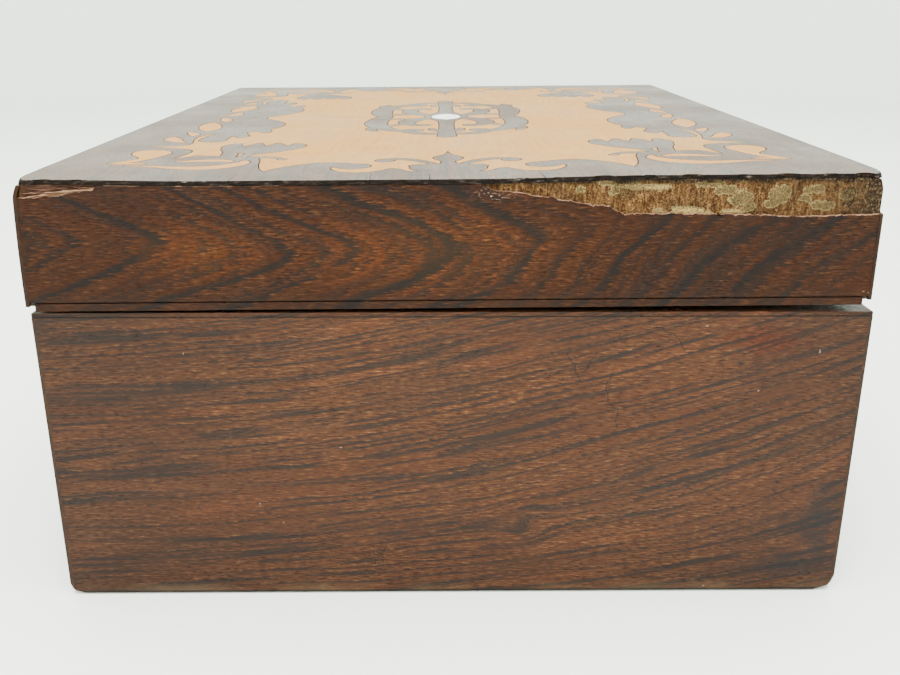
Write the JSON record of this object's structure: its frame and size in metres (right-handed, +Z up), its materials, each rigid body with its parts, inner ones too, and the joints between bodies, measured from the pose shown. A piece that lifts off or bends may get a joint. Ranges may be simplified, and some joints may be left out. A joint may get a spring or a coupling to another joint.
{
  "type": "hinged wooden box",
  "caption": "Rectangular veneered wooden box with a marquetry lid on butt hinges, slightly ajar, an inset keyhole and lock, and a lined interior.",
  "frame": {"origin": "centre of the case's underside, where the baize meets the table", "axes": "+X along the hinge line towards the right end, -Y towards the lock and keyhole, +Z up"},
  "size_m": [0.3, 0.232, 0.1255],
  "materials": {
    "rosewood_case": "french polish, worn",
    "rosewood_rim": "french polish, worn",
    "rosewood_lid": "french polish, worn",
    "rosewood_top": "glossy french polish",
    "satinwood": "glossy french polish",
    "medallion_wood": "glossy french polish",
    "pearl_shell": "polished shell",
    "carcass_wood": "bare aged wood",
    "lining_cloth": "cotton velvet",
    "baize": "wool baize",
    "brass": "aged",
    "screw_brass": "aged",
    "steel": "dull"
  },
  "bodies": {
    "case": {"case_front_veneer": "rosewood_case", "case_back_veneer": "rosewood_case", "case_left_veneer": "rosewood_case", "case_right_veneer": "rosewood_case", "rim_front": "rosewood_rim", "rim_back": "rosewood_rim", "rim_left": "rosewood_rim", "rim_right": "rosewood_rim", "case_front_board": "carcass_wood", "case_back_board": "carcass_wood", "case_left_board": "carcass_wood", "case_right_board": "carcass_wood", "case_bottom_board": "carcass_wood", "wall_lining": "lining_cloth", "floor_lining": "lining_cloth", "base_baize": "baize", "keyhole_escutcheon": "brass", "lock_plate": "brass", "lock_case": "brass", "hinge_case_leaves": "brass", "lock_screws": "screw_brass", "hinge_case_screws": "screw_brass", "lock_pins": "steel", "lock_spring": "steel", "hinge_pins": "steel"},
    "lid": {"lip_front": "rosewood_rim", "lip_back": "rosewood_rim", "lip_left": "rosewood_rim", "lip_right": "rosewood_rim", "lid_front_veneer": "rosewood_lid", "lid_back_veneer": "rosewood_lid", "lid_left_veneer": "rosewood_lid", "lid_right_veneer": "rosewood_lid", "top_ground": "rosewood_top", "top_field": "satinwood", "top_light_inlay": "satinwood", "top_medallion": "medallion_wood", "top_pearl": "pearl_shell", "lid_front_rail": "carcass_wood", "lid_back_rail": "carcass_wood", "lid_left_rail": "carcass_wood", "lid_right_rail": "carcass_wood", "lid_top_board": "carcass_wood", "lid_wall_lining": "lining_cloth", "lid_lining": "lining_cloth", "link_plate": "brass", "hinge_lid_leaves": "brass", "link_screws": "screw_brass", "hinge_lid_screws": "screw_brass"},
    "bolt": {"lock_bolt": "brass"}
  },
  "joints": [
    {"name": "lid_hinge", "type": "hinge", "parent": "case", "child": "lid", "pos_m": [0, 0.1154, 0.0882], "axis": [-1, 0, 0], "range_deg": [0, 100]},
    {"name": "lock_bolt_slide", "type": "slide", "parent": "case", "child": "bolt", "axis": [1, 0, 0], "range_m": [0, 0.005]}
  ]
}
